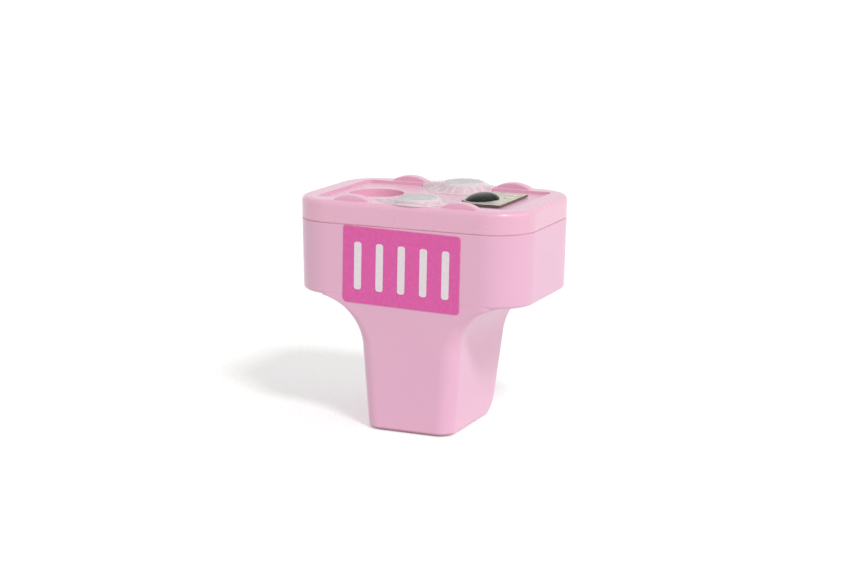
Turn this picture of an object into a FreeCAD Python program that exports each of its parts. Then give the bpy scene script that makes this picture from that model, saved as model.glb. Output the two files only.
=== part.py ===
import FreeCAD, Part
import math
import os

# Inkjet ink cartridge with a wide head, a narrow grip below it and two ports in the lid.
# Millimetres, +Z up, the grip stands on Z = 0, the head is centred on X = Y = 0.
# The labelled front faces -Y.

# Head of the tank, at the line where the lid meets it
head_width = 46.0
head_depth = 30.8
head_corner_radius = 7.8
head_height = 13.5
head_edge_radius = 0.7
mould_draft = 0.02
wall = 1.4

# Grip below the head
grip_height = 24.9
grip_base_width = 17.1
grip_side_slope = 0.075
grip_offset = 0.85
grip_rear_setback = 2.2
grip_rear_slope = 0.166
grip_corner_radius = 2.9
grip_edge_radius = 0.7
grip_heel_radius = 4.5
grip_front_step = 0.02
flare_radius = 9.5
flare_edge_radius = 1.0
flare_end_angle = 80.0

# Where the outlines of the lofts lie, as shares of the foot's rounding, the heel and the flare
foot_edge_shares = (0, 0.06, 0.2, 0.42, 0.7, 1.0)
heel_shares = (0, 0.05, 0.14, 0.28, 0.46, 0.7, 1.0)
flare_shares = (0, 0.2, 0.4, 0.58, 0.74, 0.88, 1.0)

# Lid
lid_height = 4.2
lid_edge_radius = 1.0
lid_plate = 1.4
seam_chamfer = 0.15
deck_depth = 0.6
deck_rim = 3.9
deck_corner_radius = 1.2
rib_thickness = 0.8
rib_depth = 1.2
rib_clearance = 0.1

# Fins on the rim
fin_spacing = 21.4
fin_chord = 7.6
fin_height = 1.1
fin_thickness = 1.8
fin_rim_inset = 2.1
fin_edge_radius = 0.25

# Ports and the valves below them
port_offset = 1.2
port_rim_inset = 4.5
boss_radius = 4.2
boss_rise = 0.7
boss_edge_radius = 0.3
septum_radius = 3.4
septum_seat_depth = 1.2
septum_crown = 0.3
septum_edge_radius = 0.24
septum_plug_length = 2.4
septum_dimple_radius = 1.2
septum_dimple_depth = 0.15
chamber_bore_radius = 1.9
chamber_wall = 0.8
ball_clearance_to_bore = 0.4
ball_seat_clearance = 0.08
ball_seat_drop = 0.6
ball_travel = 2.0
spring_wire = 0.3
spring_turns = 5
spring_solid_clearance = 0.6
spring_bore_clearance = 0.7
spring_ball_clearance = 0.05
retainer_floor = 0.8
retainer_rim_height = 1.0
retainer_rim_clearance = 0.15
retainer_hole_radius = 0.6
retainer_notch_width = 0.7
retainer_notches = 3
filter_thickness = 0.3
chamber_lip = 0.2

# Filling pocket and its plug
pocket_rim_gap = 1.9
pocket_radius = 5.2
pocket_depth = 1.6
pocket_floor = 1.2
pocket_wall = 1.0
fill_hole_radius = 1.5
plug_head_radius = 2.4
plug_head_height = 0.6
plug_tail = 0.5

# Films over the ports
film_thickness = 0.1
film_clearance = 0.03
film_left_reach = 10.6
film_right_reach = 7.4
film_top_margin = 0.15
film_rim_margin = 0.3
film_inner_reach = 6.3
film_corner_run = 2.3
film_chip_clearance = 0.6
film_fin_clearance = 0.2

# Memory chip
board_width = 8.7
board_depth = 14.8
board_thickness = 0.5
board_rim_gap = 3.3
board_centre_y = 0.1
board_cut = 5.3
board_notch_radius = 0.45
board_notch_shift = -0.6
adhesive_thickness = 0.12
adhesive_inset = 0.4
resin_radius = 2.9
resin_height = 1.3
resin_edge_margin = 0.4
resin_shift_y = -1.1
contacts = 4
contact_width = 1.8
contact_depth = 2.1
contact_gap = 0.9
contact_edge_margin = 0.5
contact_thickness = 0.05

# Label on the front
label_width = 23.3
label_height = 14.2
label_corner_radius = 1.0
label_thickness = 0.1
label_top_margin = 0.4
label_centre_x = -0.15
label_turn = 0.8

# Levels and places that follow from the sizes above
parting_level = grip_height + head_height
rim_level = parting_level + lid_height
deck_level = rim_level - deck_depth
plate_level = deck_level - lid_plate
boss_level = rim_level + boss_rise
septum_seat_level = boss_level - septum_seat_depth
septum_top_level = boss_level + septum_crown
septum_bottom_level = septum_seat_level - septum_plug_length
ball_radius = chamber_bore_radius - ball_clearance_to_bore
ball_level = septum_bottom_level - ball_seat_drop
spring_radius = chamber_bore_radius - spring_bore_clearance - spring_wire / 2
spring_reach = ball_radius + spring_wire / 2 + spring_ball_clearance
spring_top_level = ball_level - math.sqrt(spring_reach ** 2 - spring_radius ** 2) + spring_wire / 2
spring_rest_length = ball_travel + (spring_turns + 1) * spring_wire + spring_solid_clearance
retainer_level = spring_top_level - spring_rest_length
filter_level = retainer_level - retainer_floor
chamber_level = filter_level - filter_thickness - chamber_lip
pocket_level = deck_level - pocket_depth
hollow_inset = wall + rib_clearance + rib_thickness
port_y = head_depth / 2 - port_rim_inset
fin_y = head_depth / 2 - fin_rim_inset
pocket_centre_x = deck_rim + pocket_rim_gap + pocket_radius - head_width / 2
board_centre_x = head_width / 2 - deck_rim - board_rim_gap - board_width / 2
board_level = deck_level + adhesive_thickness
board_top_level = board_level + board_thickness

UP = FreeCAD.Vector(0, 0, 1)
REACH = head_width + head_depth + rim_level


def point(x, y, z):
    return FreeCAD.Vector(x, y, z)


def cylinder(radius, low, high, x, y):
    return Part.makeCylinder(radius, high - low, point(x, y, low), UP)


def block(x_low, x_high, y_low, y_high, z_low, z_high):
    return Part.makeBox(x_high - x_low, y_high - y_low, z_high - z_low, point(x_low, y_low, z_low))


# Closed outline at one height, its four corners quarter circles, each side with its own radius
def rounded_outline(left, right, front, rear, left_radius, right_radius, z):
    corners = [
        (right - right_radius, front + right_radius, right_radius, -90),
        (right - right_radius, rear - right_radius, right_radius, 0),
        (left + left_radius, rear - left_radius, left_radius, 90),
        (left + left_radius, front + left_radius, left_radius, 180),
    ]
    arcs = []
    for x, y, radius, start in corners:
        circle = Part.Circle(point(x, y, z), UP, radius)
        arcs.append(Part.Arc(circle, math.radians(start), math.radians(start + 90)).toShape())
    edges = []
    for index, arc in enumerate(arcs):
        edges.append(arc)
        following = arcs[(index + 1) % len(arcs)]
        start = arc.valueAt(arc.LastParameter)
        end = following.valueAt(following.FirstParameter)
        edges.append(Part.makeLine(start, end))
    return Part.Wire(edges)


# Outline of the head or the lid at one height, moved inwards by inset
def head_outline(z, inset):
    shift = mould_draft * (z - parting_level) - inset
    half_width = head_width / 2 + shift
    half_depth = head_depth / 2 + shift
    radius = head_corner_radius + shift
    return rounded_outline(-half_width, half_width, -half_depth, half_depth, radius, radius, z)


def head_prism(low, high, inset):
    return Part.makeLoft([head_outline(low, inset), head_outline(high, inset)], True, True)


def outline_edges(solid, z):
    return [edge for edge in solid.Edges if all(abs(vertex.Z - z) < 1e-6 for vertex in edge.Vertexes)]


# Half the grip's width on its straight sides, moved inwards by inset
def straight_half_width(z, inset):
    return grip_base_width / 2 + grip_side_slope * z - inset * math.hypot(1, grip_side_slope)


def straight_rear(z, inset):
    head_rear = head_depth / 2 - mould_draft * (parting_level - grip_height)
    line = head_rear - grip_rear_setback - grip_rear_slope * (grip_height - z)
    return line - inset * math.hypot(1, grip_rear_slope)


# The flare is an arc tangent to the grip's side and to the underside of the head
def flare_point(angle, inset):
    radius = flare_radius + inset
    centre_z = grip_height - flare_radius
    centre_x = straight_half_width(centre_z, inset) + radius * math.hypot(1, grip_side_slope)
    return centre_x - radius * math.cos(angle), centre_z + radius * math.sin(angle)


# The heel is an arc tangent to the base and to the sloping rear
def heel_rear(z, inset):
    radius = grip_heel_radius - inset
    centre_z = grip_heel_radius
    centre_y = straight_rear(centre_z, inset) - radius * math.hypot(1, grip_rear_slope)
    tangent_z = centre_z - radius * math.sin(math.atan(grip_rear_slope))
    if z >= tangent_z:
        return straight_rear(z, inset)
    return centre_y + math.sqrt(max(radius ** 2 - (centre_z - z) ** 2, 0))


def grip_outline(z, half_width, corner_radius, edge_inset, inset):
    left = grip_offset - half_width + edge_inset
    right = grip_offset + half_width - edge_inset
    front = -head_depth / 2 + mould_draft * (parting_level - z) + grip_front_step + inset + edge_inset
    rear = heel_rear(z, inset) - edge_inset
    corner_x = head_width / 2 - head_corner_radius
    left_radius = max(corner_radius - inset, -left - corner_x)
    right_radius = max(corner_radius - inset, right - corner_x)
    return rounded_outline(left, right, front, rear, left_radius, right_radius, z)


# Grip with its flares, from its base up into the head, moved inwards by inset
def grip_body(edge_radius, inset, top):
    heel_top = grip_heel_radius - (grip_heel_radius - inset) * math.sin(math.atan(grip_rear_slope))
    heel_start = inset + edge_radius
    heel = []
    for share in heel_shares:
        level = heel_start + (heel_top - heel_start) * share
        heel.append(grip_outline(level, straight_half_width(level, inset), grip_corner_radius, 0, inset))
    pieces = [Part.makeLoft(heel, True, False)]
    if edge_radius > 0:
        edge = []
        for share in foot_edge_shares:
            rise = edge_radius * share
            edge_inset = edge_radius - math.sqrt(edge_radius ** 2 - (edge_radius - rise) ** 2)
            half_width = straight_half_width(inset + rise, inset)
            edge.append(grip_outline(inset + rise, half_width, grip_corner_radius, edge_inset, inset))
        pieces.append(Part.makeLoft(edge, True, False))

    start_angle = math.atan(grip_side_slope)
    end_angle = math.radians(flare_end_angle)
    flare = []
    for share in flare_shares:
        angle = start_angle + (end_angle - start_angle) * share
        half_width, level = flare_point(angle, inset)
        corner_radius = grip_corner_radius + (flare_edge_radius + inset - grip_corner_radius) * share
        corner_radius = max(corner_radius, inset + flare_edge_radius / 2)
        flare.append(grip_outline(level, half_width, corner_radius, 0, inset))

    pieces.append(Part.makeLoft([heel[-1], flare[0]], True, True))
    pieces.append(Part.makeLoft(flare, True, False))
    cap = Part.Face(flare[-1]).extrude(UP * (top - flare[-1].BoundBox.ZMin))
    return cap.fuse(pieces)


def tank_shell():
    head = head_prism(grip_height, parting_level, 0)
    head = head.makeFillet(head_edge_radius, outline_edges(head, grip_height))
    head = head.makeChamfer(seam_chamfer, outline_edges(head, parting_level))
    outside = head.fuse(grip_body(grip_edge_radius, 0, grip_height + head_edge_radius + wall / 2))
    floor = grip_height + wall
    cavity = head_prism(floor, parting_level + wall, wall)
    cavity = cavity.fuse(grip_body(0, wall, floor + wall))
    return outside.cut(cavity)


def fin(x, y):
    radius = (fin_chord ** 2 / 4 + fin_height ** 2) / (2 * fin_height)
    centre_z = rim_level + fin_height - radius
    start = point(x, y - fin_thickness / 2, centre_z)
    disc = Part.makeCylinder(radius, fin_thickness, start, point(0, 1, 0))
    rims = [edge for edge in disc.Edges if len(edge.Vertexes) == 1]
    disc = disc.makeFillet(fin_edge_radius, rims)
    above = block(x - fin_chord, x + fin_chord, y - fin_thickness, y + fin_thickness,
                  rim_level - deck_depth / 2, rim_level + 2 * fin_height)
    return disc.common(above)


def port_boss(y, envelope):
    boss = cylinder(boss_radius, plate_level, boss_level, port_offset, y)
    boss = boss.makeFillet(boss_edge_radius, outline_edges(boss, boss_level)).common(envelope)
    chamber = cylinder(chamber_bore_radius + chamber_wall, chamber_level, deck_level, port_offset, y)
    return boss.fuse(chamber)


def port_lid():
    shell = head_prism(parting_level, rim_level, 0)
    shell = shell.makeFillet(lid_edge_radius, outline_edges(shell, rim_level))
    shell = shell.makeChamfer(seam_chamfer, outline_edges(shell, parting_level))
    shell = shell.cut(head_prism(parting_level - wall, plate_level, hollow_inset))
    rib_top = parting_level + rib_depth
    rib = head_prism(parting_level - rib_depth, rib_top, wall + rib_clearance)
    rib = rib.cut(head_prism(parting_level - 2 * rib_depth, rib_top + rib_depth, hollow_inset))

    half_width = head_width / 2 - deck_rim
    half_depth = head_depth / 2 - deck_rim
    deck = rounded_outline(-half_width, half_width, -half_depth, half_depth,
                           deck_corner_radius, deck_corner_radius, deck_level)
    shell = shell.cut(Part.Face(deck).extrude(UP * lid_height))

    cup = cylinder(pocket_radius + pocket_wall, pocket_level - pocket_floor, deck_level - lid_plate / 2,
                   pocket_centre_x, 0)
    envelope = head_prism(parting_level, boss_level + lid_height, 0)
    pieces = [rib, cup]
    for side in (-1, 1):
        pieces.append(port_boss(side * port_y, envelope))
        for x in (-fin_spacing / 2, fin_spacing / 2):
            pieces.append(fin(x, side * fin_y))
    lid = shell.fuse(pieces)

    for side in (-1, 1):
        y = side * port_y
        lid = lid.cut(cylinder(septum_radius, septum_seat_level, boss_level + lid_height, port_offset, y))
        lid = lid.cut(cylinder(chamber_bore_radius, chamber_level - lid_height, boss_level, port_offset, y))
    lid = lid.cut(cylinder(pocket_radius, pocket_level, rim_level + lid_height, pocket_centre_x, 0))
    lid = lid.cut(cylinder(fill_hole_radius, pocket_level - lid_height, rim_level, pocket_centre_x, 0))
    return lid.removeSplitter()


# Rubber plug that the printer's needle passes through
def septum(y):
    flange = cylinder(septum_radius, septum_seat_level, septum_top_level, port_offset, y)
    flange = flange.makeFillet(septum_edge_radius, outline_edges(flange, septum_top_level))
    plug = cylinder(chamber_bore_radius, septum_bottom_level, septum_seat_level, port_offset, y)
    seat = Part.makeSphere(ball_radius + ball_seat_clearance, point(port_offset, y, ball_level))
    dimple = Part.makeCone(0, septum_dimple_radius, septum_dimple_depth,
                           point(port_offset, y, septum_top_level - septum_dimple_depth), UP)
    return flange.fuse(plug).cut(seat).cut(dimple).removeSplitter()


def valve_ball(y):
    return Part.makeSphere(ball_radius, point(port_offset, y, ball_level))


def valve_spring(y):
    height = spring_rest_length - spring_wire
    helix = Part.makeLongHelix(height / spring_turns, height, spring_radius)
    section = Part.Wire(Part.makeCircle(spring_wire / 2, point(spring_radius, 0, 0), point(0, 1, 0)))
    coil = Part.Wire(helix.Edges).makePipeShell([section], True, True)
    coil.translate(point(port_offset, y, retainer_level + spring_wire / 2))
    return coil


# Open cup that the spring stands in, with notches that let the ink through
def spring_retainer(y):
    cup = cylinder(chamber_bore_radius, filter_level, retainer_level + retainer_rim_height, port_offset, y)
    well = spring_radius + spring_wire / 2 + retainer_rim_clearance
    cup = cup.cut(cylinder(well, retainer_level, retainer_level + retainer_rim_height, port_offset, y))
    cup = cup.cut(cylinder(retainer_hole_radius, filter_level, retainer_level, port_offset, y))
    for index in range(retainer_notches):
        notch = block(port_offset + well, port_offset + 2 * chamber_bore_radius,
                      y - retainer_notch_width / 2, y + retainer_notch_width / 2,
                      filter_level, retainer_level + retainer_rim_height)
        notch.rotate(point(port_offset, y, 0), UP, index * 360 / retainer_notches)
        cup = cup.cut(notch)
    return cup


def port_filter(y):
    return cylinder(chamber_bore_radius, filter_level - filter_thickness, filter_level, port_offset, y)


def fill_plug():
    head = cylinder(plug_head_radius, pocket_level, pocket_level + plug_head_height, pocket_centre_x, 0)
    head = head.makeFillet(plug_head_height / 2, outline_edges(head, pocket_level + plug_head_height))
    stem = cylinder(fill_hole_radius, pocket_level - pocket_floor - plug_tail, pocket_level, pocket_centre_x, 0)
    return head.fuse(stem).removeSplitter()


# Clear strip that lies over one port and slopes down to the deck on both sides
def port_film(side):
    low = deck_level + film_clearance
    top = septum_top_level + film_clearance
    left_top = port_offset - septum_radius - film_top_margin
    right_top = port_offset + septum_radius + film_top_margin
    left_end = port_offset - film_left_reach
    right_end = port_offset + film_right_reach
    line = [(left_end, low), (left_top, top), (right_top, top), (right_end, low)]
    outline = [point(x, 0, z) for x, z in line]
    outline += [point(x, 0, z + film_thickness) for x, z in reversed(line)]
    strip = Part.Face(Part.makePolygon(outline + [outline[0]])).extrude(point(0, REACH, 0))
    if side < 0:
        strip.translate(point(0, -REACH, 0))

    inner = side * (port_y - film_inner_reach)
    chip_edge = board_centre_y + side * (board_depth / 2 + film_chip_clearance)
    chip_left = board_centre_x - board_width / 2 - film_chip_clearance
    outer = side * (head_depth / 2 - film_rim_margin)
    deck_edge = side * (head_depth / 2 - deck_rim - film_fin_clearance)
    rim_share = (rim_level - deck_level) / (top - low)
    fin_edge = fin_spacing / 2 - fin_chord / 2 - film_fin_clearance
    rim_left = max(-fin_edge, left_end + (left_top - left_end) * rim_share)
    rim_right = min(fin_edge, right_end - (right_end - right_top) * rim_share)
    footprint = [
        (left_end, inner), (chip_left - film_corner_run, inner), (chip_left, chip_edge), (right_end, chip_edge),
        (right_end, deck_edge), (rim_right, deck_edge), (rim_right, outer), (rim_left, outer),
        (rim_left, deck_edge), (left_end, deck_edge),
    ]
    corners = [point(x, y, low) for x, y in footprint]
    prism = Part.Face(Part.makePolygon(corners + [corners[0]])).extrude(UP * lid_height)
    return strip.common(prism)


# Board outline moved inwards by inset, one corner cut off where the filling pocket is near
def board_outline(inset, z):
    right = board_centre_x + board_width / 2 - inset
    left = board_centre_x - board_width / 2 + inset
    front = board_centre_y - board_depth / 2 + inset
    rear = board_centre_y + board_depth / 2 - inset
    cut = board_cut - inset * (2 - math.sqrt(2))
    corners = [(left + cut, front), (right, front), (right, rear), (left, rear), (left, front + cut)]
    points = [point(x, y, z) for x, y in corners]
    return Part.Face(Part.makePolygon(points + [points[0]]))


def chip_board():
    board = board_outline(0, board_level).extrude(UP * board_thickness)
    notch_x = board_centre_x + board_notch_shift
    notch_y = board_centre_y + board_depth / 2
    return board.cut(cylinder(board_notch_radius, deck_level, rim_level + lid_height, notch_x, notch_y))


def chip_adhesive():
    return board_outline(adhesive_inset, deck_level).extrude(UP * adhesive_thickness)


# Drop of resin over the chip, a cap of a sphere near the board's left edge
def chip_encapsulant():
    radius = (resin_radius ** 2 + resin_height ** 2) / (2 * resin_height)
    x = board_centre_x - board_width / 2 + resin_radius + resin_edge_margin
    y = board_centre_y + resin_shift_y
    sphere = Part.makeSphere(radius, point(x, y, board_top_level + resin_height - radius))
    return sphere.common(cylinder(resin_radius * 2, board_top_level, board_top_level + resin_height * 2, x, y))


# Row of flat pads along the board's right edge
def chip_contacts():
    pads = []
    x = board_centre_x + board_width / 2 - contact_edge_margin
    pitch = contact_depth + contact_gap
    for index in range(contacts):
        y = board_centre_y + (index - (contacts - 1) / 2) * pitch
        pads.append(block(x - contact_width, x, y - contact_depth / 2, y + contact_depth / 2,
                          board_top_level, board_top_level + contact_thickness))
    return Part.makeCompound(pads)


# Label on the drafted front of the head, a little out of square
def front_label():
    half_width = label_width / 2
    half_height = label_height / 2
    outline = rounded_outline(-half_width, half_width, -half_height, half_height,
                              label_corner_radius, label_corner_radius, 0)
    plate = Part.Face(outline).extrude(UP * label_thickness)
    plate.rotate(point(0, 0, 0), UP, -label_turn)
    plate.rotate(point(0, 0, 0), point(1, 0, 0), 90 + math.degrees(math.atan(mould_draft)))
    centre_z = parting_level - label_top_margin - half_height
    front = -head_depth / 2 + mould_draft * (parting_level - centre_z)
    plate.translate(point(label_centre_x, front, centre_z))
    return plate


def build():
    pieces = {
        "tank_shell": tank_shell(),
        "port_lid": port_lid(),
        "fill_plug": fill_plug(),
        "chip_board": chip_board(),
        "chip_adhesive": chip_adhesive(),
        "chip_encapsulant": chip_encapsulant(),
        "chip_contacts": chip_contacts(),
        "front_label": front_label(),
    }
    for place, side in (("front", -1), ("rear", 1)):
        y = side * port_y
        pieces[place + "_septum"] = septum(y)
        pieces[place + "_valve_ball"] = valve_ball(y)
        pieces[place + "_valve_spring"] = valve_spring(y)
        pieces[place + "_spring_retainer"] = spring_retainer(y)
        pieces[place + "_port_filter"] = port_filter(y)
        pieces[place + "_port_film"] = port_film(side)
    return pieces


os.makedirs("parts", exist_ok=True)
for name, shape in build().items():
    shape.exportStep("parts/" + name + ".step")
    box = shape.BoundBox
    print(name, "solids", len(shape.Solids), "valid", shape.isValid(), "volume", round(shape.Volume, 2),
          "low", [round(v, 2) for v in (box.XMin, box.YMin, box.ZMin)],
          "high", [round(v, 2) for v in (box.XMax, box.YMax, box.ZMax)])
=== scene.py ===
import math
import bpy
import bmesh
from mathutils import Matrix, Vector, noise


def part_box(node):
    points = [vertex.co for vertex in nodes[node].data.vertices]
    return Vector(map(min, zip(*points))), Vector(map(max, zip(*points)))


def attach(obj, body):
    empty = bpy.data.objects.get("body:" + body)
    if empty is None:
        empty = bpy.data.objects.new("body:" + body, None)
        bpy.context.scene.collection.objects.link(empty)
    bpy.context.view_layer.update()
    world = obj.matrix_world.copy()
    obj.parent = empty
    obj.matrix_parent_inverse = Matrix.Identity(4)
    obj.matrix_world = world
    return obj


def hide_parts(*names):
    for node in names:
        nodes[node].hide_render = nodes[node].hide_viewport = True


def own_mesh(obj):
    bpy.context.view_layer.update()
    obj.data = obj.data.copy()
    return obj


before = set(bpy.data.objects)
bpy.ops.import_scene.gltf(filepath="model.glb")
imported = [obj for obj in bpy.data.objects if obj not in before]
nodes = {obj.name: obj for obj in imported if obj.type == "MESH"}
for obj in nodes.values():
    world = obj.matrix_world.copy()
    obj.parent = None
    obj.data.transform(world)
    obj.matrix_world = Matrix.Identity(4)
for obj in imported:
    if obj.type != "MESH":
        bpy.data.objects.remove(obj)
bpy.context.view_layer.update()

# An ink cartridge on a white table, in metres
mm = 0.001
scene = bpy.context.scene
print("frame loaded", len(nodes), "nodes")


def addObject(name, mesh):
    piece = bpy.data.objects.new(name, mesh)
    scene.collection.objects.link(piece)
    return piece


def meshFromBmesh(bm, name, smooth=True):
    bmesh.ops.remove_doubles(bm, verts=bm.verts, dist=1e-7)
    bmesh.ops.recalc_face_normals(bm, faces=bm.faces)
    mesh = bpy.data.meshes.new(name)
    bm.to_mesh(mesh)
    bm.free()
    if smooth:
        mesh.shade_smooth()
    return mesh


def smoothStep(low, high, value):
    share = min(max((value - low) / (high - low), 0), 1)
    return share * share * (3 - 2 * share)


# Noise round a circle, which closes on itself
def ringNoise(angle, scale, seed):
    return noise.noise(Vector((math.cos(angle) * scale, math.sin(angle) * scale, seed)))


# Quads between two closed loops of as many vertices
def bridge(bm, first, second):
    for index in range(len(first)):
        after = (index + 1) % len(first)
        bm.faces.new((first[index], first[after], second[after], second[index]))


# The camera that fits the photograph; angles in degrees, lens and sensor in mm, near and far in metres
cameraSettings = {
    "place": (145.6 * mm, -340.6 * mm, 100.6 * mm),
    "azimuth": 23.42, "elevation": 11.46, "roll": 0.4,
    "lens": 84.79, "sensor": 36.0, "near": 0.01, "far": 20,
}


def makeCamera(s):
    azimuth, elevation, roll = (math.radians(s[k]) for k in ("azimuth", "elevation", "roll"))
    back = Vector((math.sin(azimuth) * math.cos(elevation), -math.cos(azimuth) * math.cos(elevation),
                   math.sin(elevation)))
    level = Vector((math.cos(azimuth), math.sin(azimuth), 0))
    lift = back.cross(level)
    right = level * math.cos(roll) + lift * math.sin(roll)
    up = lift * math.cos(roll) - level * math.sin(roll)
    data = bpy.data.cameras.new("photoCamera")
    data.lens = s["lens"]
    data.sensor_width = s["sensor"]
    data.clip_start = s["near"]
    data.clip_end = s["far"]
    camera = bpy.data.objects.new("photoCamera", data)
    scene.collection.objects.link(camera)
    turn = Matrix((right, up, back)).transposed().to_4x4()
    camera.matrix_world = Matrix.Translation(Vector(s["place"])) @ turn
    scene.camera = camera


makeCamera(cameraSettings)
scene.view_settings.view_transform = "Standard"
print("camera set")


def newMaterial(name):
    material = bpy.data.materials.new(name)
    material.use_nodes = True
    tree = material.node_tree
    tree.nodes.clear()
    shader = tree.nodes.new("ShaderNodeBsdfPrincipled")
    output = tree.nodes.new("ShaderNodeOutputMaterial")
    tree.links.new(shader.outputs["BSDF"], output.inputs["Surface"])
    return material, tree, shader


def addNode(tree, kind, values=None, links=None, **settings):
    node = tree.nodes.new(kind)
    for key, value in settings.items():
        setattr(node, key, value)
    for key, value in (values or {}).items():
        node.inputs[key].default_value = value
    for key, socket in (links or {}).items():
        tree.links.new(socket, node.inputs[key])
    return node


def ramp(tree, socket, stops):
    node = addNode(tree, "ShaderNodeValToRGB", links={"Fac": socket})
    elements = node.color_ramp.elements
    elements[0].position, elements[1].position = stops[0][0], stops[-1][0]
    for place, _ in stops[1:-1]:
        elements.new(place)
    for element, (_, colour) in zip(elements, stops):
        element.color = colour if isinstance(colour, tuple) else (colour, colour, colour, 1)
    return node.outputs["Color"]


def mathNode(tree, operation, a, b=None, clamp=False):
    node = addNode(tree, "ShaderNodeMath", operation=operation, use_clamp=clamp)
    for index, value in enumerate((a, b)):
        if value is None:
            continue
        if isinstance(value, (int, float)):
            node.inputs[index].default_value = value
        else:
            tree.links.new(value, node.inputs[index])
    return node.outputs["Value"]


def mixColour(tree, factor, a, b):
    node = addNode(tree, "ShaderNodeMix", data_type="RGBA")
    for index, value in ((0, factor), (6, a), (7, b)):
        if isinstance(value, (int, float, tuple)):
            node.inputs[index].default_value = value
        else:
            tree.links.new(value, node.inputs[index])
    return node.outputs[2]


def newGroup(name, inputs, outputs):
    group = bpy.data.node_groups.new(name, "ShaderNodeTree")
    for label, kind, value in inputs:
        socket = group.interface.new_socket(label, in_out="INPUT", socket_type=kind)
        socket.default_value = value
    for label, kind in outputs:
        group.interface.new_socket(label, in_out="OUTPUT", socket_type=kind)
    return group, group.nodes.new("NodeGroupInput"), group.nodes.new("NodeGroupOutput")


def useGroup(tree, group, values):
    node = tree.nodes.new("ShaderNodeGroup")
    node.node_tree = group
    for key, value in values.items():
        node.inputs[key].default_value = value
    return node


def objectPlace(tree):
    return addNode(tree, "ShaderNodeTexCoord").outputs["Object"]


def noiseField(tree, place, scale, detail):
    return addNode(tree, "ShaderNodeTexNoise", {"Scale": scale, "Detail": detail}, {"Vector": place}).outputs["Fac"]


def axisOf(tree, vector, axis):
    return addNode(tree, "ShaderNodeSeparateXYZ", links={"Vector": vector}).outputs[axis]


def facingOf(tree, axis):
    return axisOf(tree, addNode(tree, "ShaderNodeNewGeometry").outputs["True Normal"], axis)


# What every surface has: colour and roughness, and where s states them a fine bump and its own IOR
def finishShader(tree, shader, colour, roughness, height, s):
    tree.links.new(colour, shader.inputs["Base Color"])
    tree.links.new(roughness, shader.inputs["Roughness"])
    if "bump" in s:
        bump = addNode(tree, "ShaderNodeBump", {"Strength": s["bump"], "Distance": s["depth"]}, {"Height": height})
        tree.links.new(bump.outputs["Normal"], shader.inputs["Normal"])
    if "ior" in s:
        shader.inputs["IOR"].default_value = s["ior"]


# Moulded plastic: cloudy colour and gloss, fine pebble of the tool's surface
def makeMouldedSurface():
    group, inside, outside = newGroup(
        "mouldedSurface",
        [("Color", "NodeSocketColor", (0.8, 0.8, 0.8, 1)), ("Deep Color", "NodeSocketColor", (0.5, 0.5, 0.5, 1)),
         ("Cloud Scale", "NodeSocketFloat", 90.0), ("Cloud Amount", "NodeSocketFloat", 0.3),
         ("Pebble Scale", "NodeSocketFloat", 5200.0), ("Roughness", "NodeSocketFloat", 0.35),
         ("Roughness Spread", "NodeSocketFloat", 0.08)],
        [("Color", "NodeSocketColor"), ("Roughness", "NodeSocketFloat"), ("Height", "NodeSocketFloat")])
    place = objectPlace(group)
    cloud = addNode(group, "ShaderNodeTexNoise", {"Detail": 3.0, "Roughness": 0.55},
                    {"Vector": place, "Scale": inside.outputs["Cloud Scale"]}).outputs["Fac"]
    amount = mathNode(group, "MULTIPLY", ramp(group, cloud, [(0.32, 0.0), (0.68, 1.0)]),
                      inside.outputs["Cloud Amount"])
    colour = mixColour(group, amount, inside.outputs["Color"], inside.outputs["Deep Color"])
    group.links.new(colour, outside.inputs["Color"])
    pebble = addNode(group, "ShaderNodeTexNoise", {"Detail": 2.0, "Roughness": 0.6},
                     {"Vector": place, "Scale": inside.outputs["Pebble Scale"]}).outputs["Fac"]
    broad = noiseField(group, place, 260.0, 2.0)
    spread = mathNode(group, "MULTIPLY", mathNode(group, "SUBTRACT", broad, 0.5), inside.outputs["Roughness Spread"])
    group.links.new(mathNode(group, "ADD", inside.outputs["Roughness"], spread, True), outside.inputs["Roughness"])
    group.links.new(mathNode(group, "ADD", mathNode(group, "MULTIPLY", broad, 0.6), pebble), outside.inputs["Height"])
    return group


# 1 on sharp outer edges, 0 on flat faces, broken up by noise
def makeEdgeWearAndHighlight():
    group, inside, outside = newGroup(
        "edgeWearAndHighlight",
        [("Width", "NodeSocketFloat", 0.0003), ("Amount", "NodeSocketFloat", 0.5)],
        [("Mask", "NodeSocketFloat")])
    bevel = addNode(group, "ShaderNodeBevel", links={"Radius": inside.outputs["Width"]}, samples=6)
    surface = addNode(group, "ShaderNodeNewGeometry")
    bend = addNode(group, "ShaderNodeVectorMath", operation="DOT_PRODUCT")
    group.links.new(bevel.outputs["Normal"], bend.inputs[0])
    group.links.new(surface.outputs["Normal"], bend.inputs[1])
    mask = ramp(group, bend.outputs["Value"], [(0.78, 1.0), (0.985, 0.0)])
    breakUp = ramp(group, noiseField(group, objectPlace(group), 700.0, 3.0), [(0.35, 0.25), (0.65, 1.0)])
    mask = mathNode(group, "MULTIPLY", mathNode(group, "MULTIPLY", mask, breakUp), inside.outputs["Amount"], True)
    group.links.new(mask, outside.inputs["Mask"])
    return group


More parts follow.
